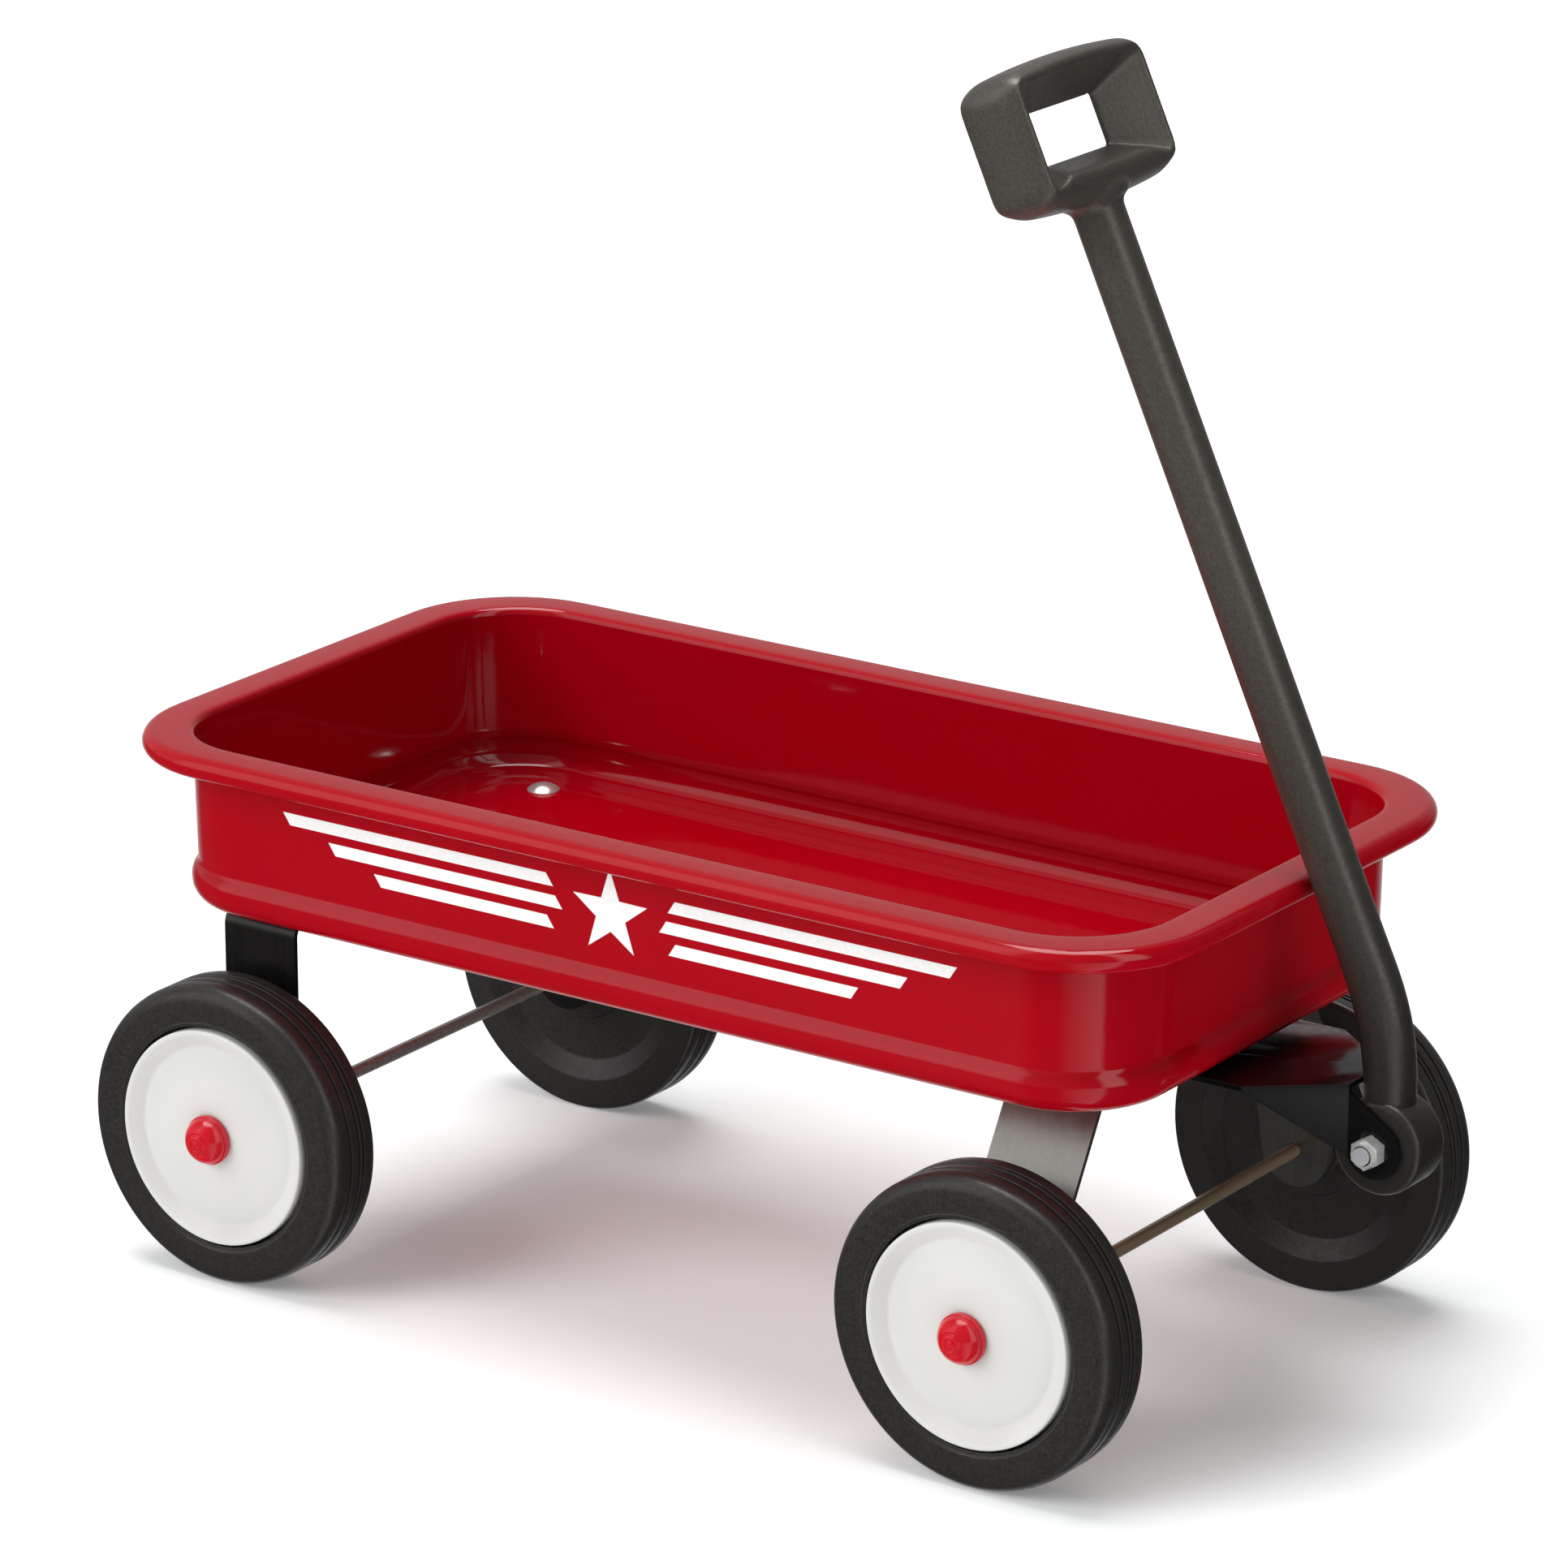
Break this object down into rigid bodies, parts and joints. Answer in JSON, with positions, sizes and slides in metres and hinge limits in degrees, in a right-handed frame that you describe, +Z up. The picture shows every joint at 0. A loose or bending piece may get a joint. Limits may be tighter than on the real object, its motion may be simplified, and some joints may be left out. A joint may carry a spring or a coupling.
{
  "type": "pull wagon",
  "caption": "Toy pull wagon: shallow pressed tray with a rolled rim on two bent strap bolsters, a steering tongue, free-spinning disc wheels and a loop-grip pull handle.",
  "frame": {"origin": "on the floor, under the middle of the whole wagon's bounding box", "axes": "+X forward towards the pull handle, +Y to the wagon's left, +Z up"},
  "size_m": [0.3902, 0.2104, 0.3728],
  "materials": {
    "red_paint": "gloss",
    "black_paint": "satin",
    "zinc": "bright zinc plate",
    "wheel_plastic": "fine grain",
    "white_disc": "gloss",
    "red_cap": "gloss",
    "handle_plastic": "leather grain"
  },
  "bodies": {
    "chassis": {"tray": "red_paint", "rear_bolster": "black_paint", "rear_axle": "zinc", "rear_bolster_bolts": "zinc", "rear_bolster_washers": "zinc", "rear_bolster_nuts": "zinc", "rear_axle_washers": "zinc", "rear_push_nuts": "zinc", "axle_cap_rear_left": "red_cap", "axle_cap_rear_right": "red_cap", "king_bolt": "zinc", "king_spacer": "zinc", "king_washer": "zinc", "king_nut": "zinc"},
    "steering": {"steering_tongue": "black_paint", "front_bolster": "black_paint", "tongue_rivets": "black_paint", "front_axle": "zinc", "front_axle_washers": "zinc", "front_push_nuts": "zinc", "axle_cap_front_left": "red_cap", "axle_cap_front_right": "red_cap", "pivot_bolt": "zinc", "pivot_nut": "zinc", "pivot_sleeve": "zinc"},
    "handle": {"pull_handle": "handle_plastic"},
    "wheel_front_left_body": {"wheel_front_left": "wheel_plastic", "wheel_disc_front_left": "white_disc"},
    "wheel_front_right_body": {"wheel_front_right": "wheel_plastic", "wheel_disc_front_right": "white_disc"},
    "wheel_rear_left_body": {"wheel_rear_left": "wheel_plastic", "wheel_disc_rear_left": "white_disc"},
    "wheel_rear_right_body": {"wheel_rear_right": "wheel_plastic", "wheel_disc_rear_right": "white_disc"}
  },
  "joints": [
    {"name": "steering_swivel", "type": "hinge", "parent": "chassis", "child": "steering", "pos_m": [0.10892, 0, 0.104], "axis": [0, 0, 1], "range_deg": [-8, 8]},
    {"name": "handle_pivot", "type": "hinge", "parent": "steering", "child": "handle", "pos_m": [0.18143, 0, 0.0865], "axis": [0, 1, 0], "range_deg": [0, 122]},
    {"name": "wheel_front_left_spin", "type": "hinge", "parent": "steering", "child": "wheel_front_left_body", "pos_m": [0.10892, 0, 0.045], "axis": [0, 1, 0], "continuous": true},
    {"name": "wheel_front_right_spin", "type": "hinge", "parent": "steering", "child": "wheel_front_right_body", "pos_m": [0.10892, 0, 0.045], "axis": [0, 1, 0], "continuous": true},
    {"name": "wheel_rear_left_spin", "type": "hinge", "parent": "chassis", "child": "wheel_rear_left_body", "pos_m": [-0.15007, 0, 0.045], "axis": [0, 1, 0], "continuous": true},
    {"name": "wheel_rear_right_spin", "type": "hinge", "parent": "chassis", "child": "wheel_rear_right_body", "pos_m": [-0.15007, 0, 0.045], "axis": [0, 1, 0], "continuous": true}
  ]
}
